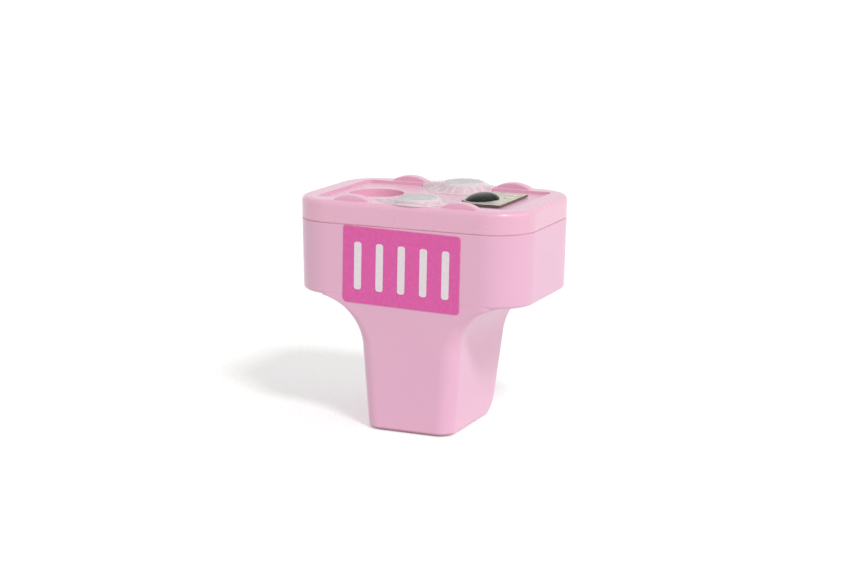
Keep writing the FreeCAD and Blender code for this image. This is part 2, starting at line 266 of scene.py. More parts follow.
# Specks of dust and short hair scratches, as masks; each set of scratches has a turn and a stretch
def makeHandling():
    group, inside, outside = newGroup(
        "handlingMarks",
        [("Speck Amount", "NodeSocketFloat", 0.3), ("Scratch Amount", "NodeSocketFloat", 0.3)],
        [("Specks", "NodeSocketFloat"), ("Scratches", "NodeSocketFloat")])
    place = objectPlace(group)
    cells = addNode(group, "ShaderNodeTexVoronoi", {"Scale": 650.0}, {"Vector": place}).outputs["Distance"]
    specks = mathNode(group, "MULTIPLY", ramp(group, cells, [(0.06, 1.0), (0.1, 0.0)]),
                      ramp(group, noiseField(group, place, 140.0, 1.0), [(0.52, 0.0), (0.6, 1.0)]))
    group.links.new(mathNode(group, "MULTIPLY", specks, inside.outputs["Speck Amount"]), outside.inputs["Specks"])
    total = None
    for turn, stretch in (((0.5, 0.3, 0.9), (60, 1800, 900)), ((1.4, 0.9, 0.2), (1500, 80, 1100))):
        stretched = addNode(group, "ShaderNodeMapping", {"Rotation": turn, "Scale": stretch}, {"Vector": place})
        lines = ramp(group, noiseField(group, stretched.outputs["Vector"], 1.0, 1.0), [(0.66, 0.0), (0.72, 1.0)])
        total = lines if total is None else mathNode(group, "MAXIMUM", total, lines)
    group.links.new(mathNode(group, "MULTIPLY", total, inside.outputs["Scratch Amount"]), outside.inputs["Scratches"])
    return group


mouldedSurface = makeMouldedSurface()
edgeWearAndHighlight = makeEdgeWearAndHighlight()
handlingMarks = makeHandling()
print("shader groups built")


# Each moulded plastic: two near colours and the paler one of its edges and specks, cloud scale, gloss, bump,
# how far edges have paled (partly worn, partly a painted highlight), sheen at flat angles, how high the painted shade
# at its foot reaches
plasticSettings = {
    "tankPlastic": {
        "color": (0.785, 0.435, 0.595, 1), "deep": (0.76, 0.412, 0.575, 1), "pale": (0.90, 0.62, 0.74, 1),
        "cloud": 85.0, "roughness": 0.34, "bump": 0.10, "depth": 0.02 * mm, "edge": 0.35, "ior": 1.56,
        # the foot's painted contact shade: how high it reaches, and its dark red-brown colour
        "sheen": 0.22, "specks": 0.08, "scratches": 0.25, "paintedFootShade": 0.75 * mm, "paintedFootShadeColor": (0.20, 0.035, 0.05, 1),
    },
    "lidPlastic": {
        "color": (0.805, 0.435, 0.575, 1), "deep": (0.78, 0.41, 0.55, 1), "pale": (0.92, 0.64, 0.75, 1),
        "cloud": 110.0, "roughness": 0.28, "bump": 0.04, "depth": 0.02 * mm, "edge": 0.12, "ior": 1.56,
        "sheen": 0.3, "specks": 0, "scratches": 0.08,
    },
    "plugPlastic": {
        "color": (0.80, 0.42, 0.56, 1), "deep": (0.74, 0.36, 0.50, 1), "pale": (0.88, 0.6, 0.7, 1),
        "cloud": 300.0, "roughness": 0.45, "bump": 0.12, "depth": 0.02 * mm, "edge": 0.3, "ior": 1.47,
        "sheen": 0, "specks": 0.2, "scratches": 0.2,
    },
    "retainerPlastic": {
        "color": (0.83, 0.81, 0.76, 1), "deep": (0.76, 0.73, 0.67, 1), "pale": (0.92, 0.9, 0.86, 1),
        "cloud": 400.0, "roughness": 0.5, "bump": 0.15, "depth": 0.02 * mm, "edge": 0.3, "ior": 1.5,
        "sheen": 0, "specks": 0.2, "scratches": 0.2,
    },
}


def makePlastic(name, s):
    material, tree, shader = newMaterial(name)
    surface = useGroup(tree, mouldedSurface, {
        "Color": s["color"], "Deep Color": s["deep"], "Cloud Scale": s["cloud"], "Cloud Amount": 0.6,
        "Roughness": s["roughness"], "Roughness Spread": 0.12})
    edgeTone = useGroup(tree, edgeWearAndHighlight, {"Width": 0.35 * mm, "Amount": s["edge"]})
    marks = useGroup(tree, handlingMarks, {"Speck Amount": s["specks"], "Scratch Amount": s["scratches"]})
    # edges paled towards the pale colour: partly worn, partly a painted highlight where rounded edges catch the light
    colour = mixColour(tree, edgeTone.outputs["Mask"], surface.outputs["Color"], s["pale"])
    colour = mixColour(tree, marks.outputs["Specks"], colour, s["pale"])
    if "paintedFootShade" in s:
        # painted contact shade round the edge that the tank stands on, strongest on faces turned to the front
        level = axisOf(tree, objectPlace(tree), "Z")
        paintedFootShade = ramp(tree, mathNode(tree, "DIVIDE", level, s["paintedFootShade"], True), [(0.3, 0.9), (1.0, 0.0)])
        front = ramp(tree, mathNode(tree, "MULTIPLY", facingOf(tree, "Y"), -1), [(0.1, 0.25), (0.6, 1.0)])
        colour = mixColour(tree, mathNode(tree, "MULTIPLY", paintedFootShade, front), colour, s["paintedFootShadeColor"])
    rough = mathNode(tree, "ADD", surface.outputs["Roughness"],
                     mathNode(tree, "MULTIPLY", marks.outputs["Scratches"], 0.12), True)
    finishShader(tree, shader, colour, rough, surface.outputs["Height"], s)
    shader.inputs["Sheen Weight"].default_value = s["sheen"]
    shader.inputs["Sheen Roughness"].default_value = 0.45
    return material


# The label's print: its colours, the scales of mottle, screen dots and gloss, and how worn its edges are
printSettings = {
    "magenta": (0.75, 0.113, 0.395, 1), "magentaDeep": (0.68, 0.090, 0.35, 1), "magentaPale": (0.80, 0.20, 0.44, 1),
    "white": (0.82, 0.76, 0.79, 1), "whitePink": (0.78, 0.68, 0.735, 1), "paper": (0.85, 0.78, 0.80, 1),
    "mottle": 1500.0, "dots": 2600.0, "gloss": 420.0, "rough": [(0.3, 0.42), (0.7, 0.56)],
    "wearWidth": 0.12 * mm, "edgeTone": 0.7, "bump": 0.12, "depth": 0.01 * mm, "ior": 1.45,
}


def makePrint(name, base, deep, pale, s):
    material, tree, shader = newMaterial(name)
    place = objectPlace(tree)
    mottle = addNode(tree, "ShaderNodeTexNoise", {"Scale": s["mottle"], "Detail": 4.0, "Roughness": 0.7},
                     {"Vector": place}).outputs["Fac"]
    colour = mixColour(tree, ramp(tree, mottle, [(0.4, 0.0), (0.62, 0.8)]), s[base], s[deep])
    cells = addNode(tree, "ShaderNodeTexVoronoi", {"Scale": s["dots"]}, {"Vector": place}).outputs["Distance"]
    colour = mixColour(tree, ramp(tree, cells, [(0.1, 0.5), (0.3, 0.0)]), colour, s[pale])
    edgeTone = useGroup(tree, edgeWearAndHighlight, {"Width": s["wearWidth"], "Amount": s["edgeTone"]})
    colour = mixColour(tree, edgeTone.outputs["Mask"], colour, s["paper"])
    rough = ramp(tree, noiseField(tree, place, s["gloss"], 3.0), s["rough"])
    finishShader(tree, shader, colour, rough, mottle, s)
    return material


# Plain surfaces, two near colours in clouds: grey rubber with talc bloom and pits, glossy black resin with
# dust, brown double-sided tape, and painted shade at the bottom of the weld line. cloud and grain are a noise's scale
# and detail
cloudedSettings = {
    "septumRubber": {
        "colors": ((0.48, 0.505, 0.50, 1), (0.56, 0.58, 0.575, 1)), "cloud": (480.0, 4.0),
        "blend": [(0.35, 0.0), (0.7, 0.7)], "rough": [(0.3, 0.5), (0.7, 0.68)], "grain": (4200.0, 2.0),
        "specks": 0.35, "dust": (0.56, 0.58, 0.575, 1), "bump": 0.2, "depth": 0.02 * mm, "ior": 1.5,
    },
    "chipEpoxy": {
        "colors": ((0.005, 0.006, 0.006, 1), (0.013, 0.014, 0.013, 1)), "cloud": (520.0, 3.0),
        "blend": [(0.4, 0.0), (0.7, 1.0)], "rough": [(0.3, 0.18), (0.7, 0.28)],
        "specks": 0.15, "dust": (0.3, 0.3, 0.3, 1), "bump": 0.1, "depth": 0.05 * mm, "ior": 1.24,
    },
    "adhesiveTape": {
        "colors": ((0.28, 0.17, 0.09, 1), (0.40, 0.27, 0.15, 1)), "cloud": (800.0, 5.0),
        "blend": [(0.4, 0.0), (0.65, 1.0)], "rough": [(0.3, 0.45), (0.7, 0.65)], "bump": 0.3, "depth": 0.02 * mm,
    },
    # painted shade: the dark pink of the shaded bottom of the weld groove
    "paintedSeamShade": {
        "colors": ((0.60, 0.26, 0.33, 1), (0.72, 0.35, 0.43, 1)), "cloud": (500.0, 3.0),
        "blend": [(0.35, 0.0), (0.65, 1.0)], "rough": [(0.3, 0.55), (0.7, 0.75)],
    },
}


def makeClouded(name, s):
    material, tree, shader = newMaterial(name)
    place = objectPlace(tree)
    cloud = noiseField(tree, place, *s["cloud"])
    colour = mixColour(tree, ramp(tree, cloud, s["blend"]), *s["colors"])
    if "specks" in s:
        marks = useGroup(tree, handlingMarks, {"Speck Amount": s["specks"]})
        colour = mixColour(tree, marks.outputs["Specks"], colour, s["dust"])
    grain = noiseField(tree, place, *s["grain"]) if "grain" in s else cloud
    finishShader(tree, shader, colour, ramp(tree, cloud, s["rough"]), grain, s)
    return material


# Metals: worn gloss with drawn or polished lines, which lines gives as noise scales along x, y and z
metalSettings = {
    "goldPlate": {"base": (0.70, 0.65, 0.53, 1), "tarnish": (0.50, 0.44, 0.33, 1), "roughness": 0.34,
                  "lines": (9000, 700, 700)},
    "polishedBall": {"base": (0.72, 0.73, 0.75, 1), "tarnish": (0.62, 0.62, 0.63, 1), "roughness": 0.08,
                     "lines": (3000, 3000, 3000)},
    "springWire": {"base": (0.60, 0.61, 0.63, 1), "tarnish": (0.48, 0.47, 0.46, 1), "roughness": 0.28,
                   "lines": (5000, 5000, 900)},
    "filterSteel": {"base": (0.55, 0.56, 0.57, 1), "tarnish": (0.42, 0.42, 0.41, 1), "roughness": 0.35,
                    "lines": (2500, 2500, 2500)},
}
metalBump = {"bump": 0.15, "depth": 0.005 * mm}


def makeMetal(name, s):
    material, tree, shader = newMaterial(name)
    place = objectPlace(tree)
    cloud = noiseField(tree, place, 900.0, 4.0)
    colour = mixColour(tree, ramp(tree, cloud, [(0.45, 0.0), (0.75, 0.8)]), s["base"], s["tarnish"])
    edgeTone = useGroup(tree, edgeWearAndHighlight, {"Width": 0.06 * mm, "Amount": 0.4})
    colour = mixColour(tree, edgeTone.outputs["Mask"], colour, s["base"])
    shader.inputs["Metallic"].default_value = 1.0
    rough = ramp(tree, cloud, [(0.3, s["roughness"]), (0.8, s["roughness"] + 0.15)])
    drawn = addNode(tree, "ShaderNodeMapping", {"Scale": s["lines"]}, {"Vector": place})
    streaks = noiseField(tree, drawn.outputs["Vector"], 1.0, 2.0)
    finishShader(tree, shader, colour, rough, streaks, metalBump)
    return material


# Chip board: mottled cream coating above and below, dark layered cut edges from its lower to its upper face
boardLook = {
    "coat": (0.60, 0.575, 0.47, 1), "coatDark": (0.42, 0.39, 0.32, 1), "fleck": (0.20, 0.16, 0.12, 1),
    "worn": (0.10, 0.07, 0.06, 1), "cloud": (650.0, 4.0), "flecks": 1500.0, "weave": (3200.0, 2.0),
    "layers": [(0.0, (0.10, 0.045, 0.02, 1)), (0.22, (0.03, 0.015, 0.012, 1)), (0.42, (0.17, 0.12, 0.13, 1)),
               (0.60, (0.14, 0.10, 0.11, 1)), (0.72, (0.022, 0.013, 0.012, 1)), (1.0, (0.03, 0.02, 0.016, 1))],
    "wearWidth": 0.1 * mm, "edgeTone": 0.5, "rough": [(0.3, 0.22), (0.7, 0.34)], "bump": 0.25, "depth": 0.02 * mm,
}


def makeBoard(name, s):
    low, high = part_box("chip_board")
    material, tree, shader = newMaterial(name)
    place = objectPlace(tree)
    cloud = noiseField(tree, place, *s["cloud"])
    top = mixColour(tree, ramp(tree, cloud, [(0.42, 0.0), (0.6, 1.0)]), s["coat"], s["coatDark"])
    flecks = addNode(tree, "ShaderNodeTexVoronoi", {"Scale": s["flecks"]}, {"Vector": place}).outputs["Distance"]
    top = mixColour(tree, ramp(tree, flecks, [(0.08, 0.7), (0.2, 0.0)]), top, s["fleck"])
    layer = mathNode(tree, "DIVIDE", mathNode(tree, "SUBTRACT", axisOf(tree, place, "Z"), low.z), high.z - low.z, True)
    isEdge = mathNode(tree, "LESS_THAN", mathNode(tree, "ABSOLUTE", facingOf(tree, "Z")), 0.5)
    colour = mixColour(tree, isEdge, top, ramp(tree, layer, s["layers"]))
    edgeTone = useGroup(tree, edgeWearAndHighlight, {"Width": s["wearWidth"], "Amount": s["edgeTone"]})
    colour = mixColour(tree, edgeTone.outputs["Mask"], colour, s["worn"])
    finishShader(tree, shader, colour, ramp(tree, cloud, s["rough"]), noiseField(tree, place, *s["weave"]), s)
    return material


# Clear peel film: see-through, milky in places, with painted highlights where it creases and at its cut edge,
# and a painted reflection that makes it whiter and more opaque at a flat angle
filmLook = {
    "clear": (0.90, 0.86, 0.87, 1), "milky": (0.96, 0.92, 0.925, 1), "haze": (900.0, 4.0),
    "milkShare": 0.5, "paintedReflectionShare": 0.22, "hazeShare": 0.03, "rough": [(0.0, 0.14), (1.0, 0.32)],
    "bump": 0.2, "depth": 0.03 * mm, "ior": 1.45,
}


def makeFilm(name, s):
    material, tree, shader = newMaterial(name)
    milkAndHighlight = addNode(tree, "ShaderNodeAttribute", attribute_name="milkAndHighlight", attribute_type="GEOMETRY").outputs["Fac"]
    haze = ramp(tree, noiseField(tree, objectPlace(tree), *s["haze"]), [(0.35, 0.0), (0.75, 1.0)])
    # painted reflection: Fresnel makes the white film more opaque at flat angles, in place of a reflection of the
    # white room
    gloss = addNode(tree, "ShaderNodeFresnel", {"IOR": s["ior"]}).outputs["Fac"]
    alpha = mathNode(tree, "ADD", mathNode(tree, "MULTIPLY", milkAndHighlight, s["milkShare"]),
                     mathNode(tree, "MULTIPLY", gloss, s["paintedReflectionShare"]))
    alpha = mathNode(tree, "ADD", alpha, mathNode(tree, "MULTIPLY", haze, s["hazeShare"]), True)
    tree.links.new(alpha, shader.inputs["Alpha"])
    finishShader(tree, shader, mixColour(tree, milkAndHighlight, s["clear"], s["milky"]), ramp(tree, haze, s["rough"]), haze, s)
    return material


materials = {name: makePlastic(name, s) for name, s in plasticSettings.items()}
materials["labelMagenta"] = makePrint("labelMagenta", "magenta", "magentaDeep", "magentaPale", printSettings)
materials["labelWhite"] = makePrint("labelWhite", "white", "whitePink", "white", printSettings)
materials.update({name: makeClouded(name, s) for name, s in cloudedSettings.items()})
materials.update({name: makeMetal(name, s) for name, s in metalSettings.items()})
materials["boardLaminate"] = makeBoard("boardLaminate", boardLook)
materials["peelFilm"] = makeFilm("peelFilm", filmLook)
print("materials built", len(materials))

nodeFinish = {
    "tank_shell": "tankPlastic", "port_lid": "lidPlastic", "fill_plug": "plugPlastic",
    "chip_board": "boardLaminate", "chip_adhesive": "adhesiveTape", "chip_encapsulant": "chipEpoxy",
    "chip_contacts": "goldPlate", "front_label": "labelMagenta",
}
for place in ("front", "rear"):
    nodeFinish[place + "_septum"] = "septumRubber"
    nodeFinish[place + "_valve_ball"] = "polishedBall"
    nodeFinish[place + "_valve_spring"] = "springWire"
    nodeFinish[place + "_spring_retainer"] = "retainerPlastic"
    nodeFinish[place + "_port_filter"] = "filterSteel"
    nodeFinish[place + "_port_film"] = "peelFilm"
for nodeName, finish in nodeFinish.items():
    slots = nodes[nodeName].data.materials
    slots.clear()
    slots.append(materials[finish])
print("nodes dressed")


def newGeometryTree(name, inputs):
    tree = bpy.data.node_groups.new(name, "GeometryNodeTree")
    tree.interface.new_socket("Geometry", in_out="INPUT", socket_type="NodeSocketGeometry")
    for label, kind, value in inputs:
        socket = tree.interface.new_socket(label, in_out="INPUT", socket_type=kind)
        socket.default_value = value
    tree.interface.new_socket("Geometry", in_out="OUTPUT", socket_type="NodeSocketGeometry")
    return tree, tree.nodes.new("NodeGroupInput"), tree.nodes.new("NodeGroupOutput")


def endTree(tree, outside, geometry, material):
    real = addNode(tree, "GeometryNodeRealizeInstances", links={"Geometry": geometry})
    coat = addNode(tree, "GeometryNodeSetMaterial", {"Material": material}, {"Geometry": real.outputs["Geometry"]})
    tree.links.new(coat.outputs["Geometry"], outside.inputs["Geometry"])


# Runs the tree on a start mesh and returns its result as one plain mesh piece
def runTree(name, tree, values, startMesh, placing=None):
    carrier = addObject(name + "Carrier", startMesh)
    modifier = carrier.modifiers.new("nodes", "NODES")
    modifier.node_group = tree
    for item in tree.interface.items_tree:
        if item.in_out == "INPUT" and item.name in values:
            modifier[item.identifier] = values[item.name]
    bpy.context.view_layer.update()
    result = carrier.evaluated_get(bpy.context.evaluated_depsgraph_get())
    mesh = bpy.data.meshes.new_from_object(result)
    mesh.name = name
    bpy.data.objects.remove(carrier)
    if placing is not None:
        mesh.transform(placing)
    return addObject(name, mesh)


# turn is in degrees, draft is the front wall's slope; shares are the rings from the rim to the middle
labelPiece = {
    "centre": (-0.15 * mm, -15.25 * mm, 30.86 * mm), "turn": 1.35, "draft": 0.02,
    "width": 23.3 * mm, "height": 14.4 * mm, "corners": (0.7 * mm, 0.3 * mm, 1.0 * mm, 0.65 * mm), "cornerSteps": 8,
    "thickness": 0.09 * mm, "back": 0.004 * mm, "rounding": 0.03 * mm, "step": 0.5 * mm,
    "wave": 0.012 * mm, "waveScale": 180, "seed": 3.1, "lift": 0.02 * mm, "loose": 0.4,
    "shares": (1.0, 0.997, 0.985, 0.95, 0.88, 0.76, 0.6, 0.4, 0.2),
}
labelPlace = (Matrix.Translation(Vector(labelPiece["centre"]))
              @ Matrix.Rotation(math.radians(90) + math.atan(labelPiece["draft"]), 4, "X")
              @ Matrix.Rotation(math.radians(-labelPiece["turn"]), 4, "Z"))


# Corners in the order right top, left top, left bottom, right bottom
def roundedLoop(width, height, corners, steps):
    points = []
    for corner, (sideX, sideY, start) in zip(corners, ((1, 1, 0), (-1, 1, 90), (-1, -1, 180), (1, -1, 270))):
        for step in range(steps + 1):
            angle = math.radians(start + 90 * step / steps)
            points.append((sideX * (width / 2 - corner) + corner * math.cos(angle),
                           sideY * (height / 2 - corner) + corner * math.sin(angle)))
    return points


# Printed sheet with rounded corners: rings from its rim inwards, faintly wavy, its rim a touch proud
def makeLabel(s):
    rim = roundedLoop(s["width"], s["height"], s["corners"], s["cornerSteps"])
    dense = []
    for index, start in enumerate(rim):
        end = rim[(index + 1) % len(rim)]
        pieces = max(1, int(math.dist(start, end) / s["step"]))
        dense += [(start[0] + (end[0] - start[0]) * k / pieces, start[1] + (end[1] - start[1]) * k / pieces)
                  for k in range(pieces)]

    def front(x, y, share):
        wave = noise.noise(Vector((x * s["waveScale"], y * s["waveScale"], s["seed"]))) * s["wave"]
        edgeLift = s["lift"] * smoothStep(0.9, 1.0, share)
        rounding = s["rounding"] * smoothStep(0.985, 1.0, share)
        return s["thickness"] - rounding + (wave + edgeLift) * s["loose"]

    bm = bmesh.new()
    layers = [[bm.verts.new((x * share, y * share, front(x * share, y * share, share))) for x, y in dense]
              for share in s["shares"]]
    back = [bm.verts.new((x, y, s["back"])) for x, y in dense]
    for outer, inner in zip(layers, layers[1:]):
        bridge(bm, outer, inner)
    bridge(bm, back, layers[0])
    bm.faces.new(layers[-1])
    bm.faces.new(list(reversed(back)))
    mesh = meshFromBmesh(bm, "labelSheet", False)
    mesh.transform(labelPlace)
    piece = addObject("labelSheet", mesh)
    piece.data.materials.append(materials["labelMagenta"])
    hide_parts("front_label")
    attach(piece, "housing")


makeLabel(labelPiece)

# the names with capitals are the tree's inputs; shift and gap place the row on the label
barSettings = {
    "Bars": 5, "Bar Width": 1.45 * mm, "Bar Height": 8.9 * mm, "Pitch": 4.35 * mm, "Corner": 0.5 * mm,
    "Depth": 0.012 * mm, "cornerSteps": 6, "shift": (0.1 * mm, -0.15 * mm), "gap": 0.003 * mm,
}


# Row of plain rounded bars, as printed on the label
def makeBars(s):
    tree, inside, outside = newGeometryTree("printedBars", [
        ("Bars", "NodeSocketInt", 5), ("Bar Width", "NodeSocketFloat", 0.002),
        ("Bar Height", "NodeSocketFloat", 0.009), ("Pitch", "NodeSocketFloat", 0.004),
        ("Corner", "NodeSocketFloat", 0.0005), ("Depth", "NodeSocketFloat", 0.0001)])
    step = addNode(tree, "ShaderNodeCombineXYZ", links={"X": inside.outputs["Pitch"]})
    line = addNode(tree, "GeometryNodeMeshLine",
                   links={"Count": inside.outputs["Bars"], "Offset": step.outputs["Vector"]})
    outline = addNode(tree, "GeometryNodeCurvePrimitiveQuadrilateral",
                      links={"Width": inside.outputs["Bar Width"], "Height": inside.outputs["Bar Height"]})
    rounded = addNode(tree, "GeometryNodeFilletCurve", links={"Curve": outline.outputs["Curve"],
                                                              "Radius": inside.outputs["Corner"]}, mode="POLY")
    rounded.inputs["Count"].default_value = s["cornerSteps"]
    rounded.inputs["Limit Radius"].default_value = True
    face = addNode(tree, "GeometryNodeFillCurve", links={"Curve": rounded.outputs["Curve"]}, mode="NGONS")
    thick = addNode(tree, "GeometryNodeExtrudeMesh", links={"Mesh": face.outputs["Mesh"],
                                                            "Offset Scale": inside.outputs["Depth"]})
    thick.inputs["Individual"].default_value = False
    bars = addNode(tree, "GeometryNodeInstanceOnPoints", links={"Points": line.outputs["Mesh"],
                                                                "Instance": thick.outputs["Mesh"]})
    endTree(tree, outside, bars.outputs["Instances"], materials["labelWhite"])
    span = (s["Bars"] - 1) * s["Pitch"]
    shift = Matrix.Translation(Vector((-span / 2 + s["shift"][0], s["shift"][1], labelPiece["thickness"] + s["gap"])))
    piece = runTree("labelBars", tree, s, bpy.data.meshes.new("labelBarsStart"), labelPlace @ shift)
    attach(piece, "housing")


makeBars(barSettings)
print("label made")


seamSettings = {
    "level": 38.4 * mm, "halfWidth": 23.0 * mm, "halfDepth": 15.4 * mm, "corner": 7.8 * mm, "cornerSteps": 24,
    "inset": 0.12 * mm, "Radius": 0.075 * mm, "sides": 8,
}


# Thin dark bead that fills the bottom of the weld groove, as painted shade in the groove
def makeSeam(s):
    bm = bmesh.new()
    points = roundedLoop(2 * (s["halfWidth"] - s["inset"]), 2 * (s["halfDepth"] - s["inset"]),
                         [s["corner"] - s["inset"]] * 4, s["cornerSteps"])
    verts = [bm.verts.new((x, y, s["level"])) for x, y in points]
    for index, vert in enumerate(verts):
        bm.edges.new((vert, verts[(index + 1) % len(verts)]))
    start = bpy.data.meshes.new("seamStart")
    bm.to_mesh(start)
    bm.free()
    tree, inside, outside = newGeometryTree("seamShadeBead", [("Radius", "NodeSocketFloat", 0.0001)])
    path = addNode(tree, "GeometryNodeMeshToCurve", links={"Mesh": inside.outputs["Geometry"]})
    ring = addNode(tree, "GeometryNodeCurvePrimitiveCircle", {"Resolution": s["sides"]},
                   {"Radius": inside.outputs["Radius"]}, mode="RADIUS")
    bead = addNode(tree, "GeometryNodeCurveToMesh", links={"Curve": path.outputs["Curve"],
                                                           "Profile Curve": ring.outputs["Curve"]})
    endTree(tree, outside, bead.outputs["Mesh"], materials["paintedSeamShade"])
    piece = runTree("seamShadeBead", tree, s, start)
    piece.data.shade_smooth()
    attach(piece, "housing")


makeSeam(seamSettings)
print("weld line made")


# The lid's levels and radii round a port, then how a film lies on them: folds and crumples are noise scales,
# the disc, lip, collar and slope values say how white the film is there, and the crest, hollow and edge values add
# painted highlight and shade. flat, collar and slope are the rings of its three zones
filmSettings = {
    "portX": 1.2 * mm, "portY": 10.9 * mm,
    "septum": 3.4 * mm, "septumTop": 43.6 * mm, "boss": 4.2 * mm, "bossTop": 43.3 * mm,
    "deck": 42.0 * mm, "rim": 42.6 * mm, "stepFrom": 10.9 * mm, "stepTo": 11.45 * mm,
    "gap": 0.03 * mm, "thickness": 0.04 * mm, "edge": 15.34 * mm, "spokes": 216, "sag": 0.8, "dome": 0.04 * mm,
    "fold": 5.5, "fineFold": 13, "fineShare": 0.45, "crumple": 1500, "looseRun": 2.5 * mm,
    # painted highlight on fold crests, near the lip and on the cut edge, painted shade in fold hollows
    "discMilk": 0.05, "lipMilk": 0.3, "collarMilk": 0.35, "slopeMilk": 0.42, "crestHighlight": 0.75, "hollowShadeAndLipHighlight": 0.25,
    "cutEdgeHighlight": 0.6, "edgeFrom": 0.22 * mm, "edgeTo": 0.08 * mm,
    "flat": (0.3, 0.6, 0.85, 0.97, 1.0), "collar": (0.12, 0.3, 0.6, 1.0), "slopeStart": (0.05, 0.1), "slopeRings": 22,
}
# outline: (x, distance outwards from the middle line) in mm; lift: how far the outer side stands up, in mm
filmShapes = {
    "frontFilm": {
        "node": "front_port_film", "side": -1, "seed": 1.7, "crease": 0.05, "crinkle": 0.01, "lift": 0.26,
        "outline": [(6.8, 8.4), (6.8, 6.4), (6.7, 4.6), (5.6, 3.7), (4.0, 4.0), (1.5, 4.5), (-1.5, 4.6), (-4.6, 5.2),
                    (-7.4, 6.1), (-10.2, 7.0), (-10.9, 8.2), (-9.6, 9.4), (-6.8, 11.2), (-4.2, 13.2), (-2.2, 14.6),
                    (0.2, 15.2), (1.4, 15.3), (2.6, 15.2), (4.6, 14.4), (6.4, 12.7), (6.9, 10.6)],
    },
    "rearFilm": {
        "node": "rear_port_film", "side": 1, "seed": 6.3, "crease": 0.10, "crinkle": 0.018, "lift": 0.24,
        "outline": [(6.9, 10.9), (6.7, 8.9), (5.9, 7.3), (4.7, 5.6), (3.4, 4.2), (1.6, 4.3), (-0.6, 4.7), (-3.0, 4.6),
                    (-4.4, 7.0), (-6.2, 9.8), (-8.0, 12.4), (-9.4, 14.2), (-8.9, 15.1), (-6.0, 15.2), (-2.5, 15.2),
                    (0.2, 15.25), (1.4, 15.3), (2.6, 15.25), (4.6, 15.0), (6.2, 14.2), (6.9, 12.6)],
    },
}


# Distance from the port to the film's cut edge, one value a spoke, smoothed between the outline's points
def filmReach(shape, s):
    marks = []
    for x, out in shape["outline"]:
        dx, dy = x * mm - s["portX"], out * mm - s["portY"]
        marks.append((math.atan2(dy, dx) % (2 * math.pi), math.hypot(dx, dy)))
    marks.sort()
    marks = [(marks[-1][0] - 2 * math.pi, marks[-1][1])] + marks + [(marks[0][0] + 2 * math.pi, marks[0][1])]
    reaches = []
    for spoke in range(s["spokes"]):
        angle = 2 * math.pi * spoke / s["spokes"]
        before = max(index for index, mark in enumerate(marks) if mark[0] <= angle)
        (lowAngle, lowReach), (highAngle, highReach) = marks[before], marks[min(before + 1, len(marks) - 1)]
        share = (angle - lowAngle) / max(highAngle - lowAngle, 1e-9)
        reaches.append(lowReach + (highReach - lowReach) * share)
    for _ in range(2):
        reaches = [(reaches[index - 1] + 2 * reach + reaches[(index + 1) % len(reaches)]) / 4
                   for index, reach in enumerate(reaches)]
    return reaches


# Height and milkiness of a film at a place, tent-like from the port's lip down to the lid; the milkiness carries
# painted highlight on fold crests, near the lip and along the cut edge, and painted shade in fold hollows
def filmPoint(angle, away, reach, shape, s):
    x = s["portX"] + away * math.cos(angle)
    out = min(s["portY"] + away * math.sin(angle), s["edge"])
    ground = s["deck"] + (s["rim"] - s["deck"]) * smoothStep(s["stepFrom"], s["stepTo"], out)
    top, lip = s["septumTop"] + s["gap"], s["bossTop"] + s["gap"]
    farSide = max(0, math.sin(angle) * shape["side"]) ** 1.5
    rise = shape["lift"] * mm * farSide * smoothStep(s["septum"], s["boss"], away)
    if away <= s["septum"]:
        return x, out, top + s["dome"] * (1 - (away / s["septum"]) ** 2), s["discMilk"]
    if away <= s["boss"]:
        share = (away - s["septum"]) / (s["boss"] - s["septum"])
        height = top + (lip - top) * smoothStep(0.1, 1, share) + rise
        return x, out, height, s["lipMilk"] + s["collarMilk"] * smoothStep(0, 0.5, share)
    share = min(1, (away - s["boss"]) / max(reach - s["boss"], 1e-6))
    slope = lip + (ground + s["gap"] - lip) * share ** s["sag"]
    fold = ringNoise(angle, s["fold"], shape["seed"])
    fold += s["fineShare"] * ringNoise(angle, s["fineFold"], shape["seed"] + 5)
    crumple = noise.noise(Vector((x * s["crumple"], out * s["crumple"], shape["seed"] + 9)))
    loose = 4 * share * (1 - share) * min(1, (reach - s["boss"]) / s["looseRun"])
    height = slope + rise * (1 - smoothStep(0, 0.55, share))
    height += (max(-0.2, fold) * shape["crease"] + crumple * shape["crinkle"]) * mm * loose
    height = max(height, ground + s["gap"])
    # painted highlight on fold crests, painted shade in fold hollows, painted highlight near the lip and along the cut
    # edge
    milkAndHighlight = s["slopeMilk"] + s["crestHighlight"] * max(0, fold) * loose - s["hollowShadeAndLipHighlight"] * max(0, -fold) * loose
    milkAndHighlight += s["hollowShadeAndLipHighlight"] * smoothStep(0.12, 0, share)
    milkAndHighlight += s["cutEdgeHighlight"] * smoothStep(s["edgeFrom"], s["edgeTo"], reach - away)
    return x, out, height, min(1, max(0.1, milkAndHighlight))


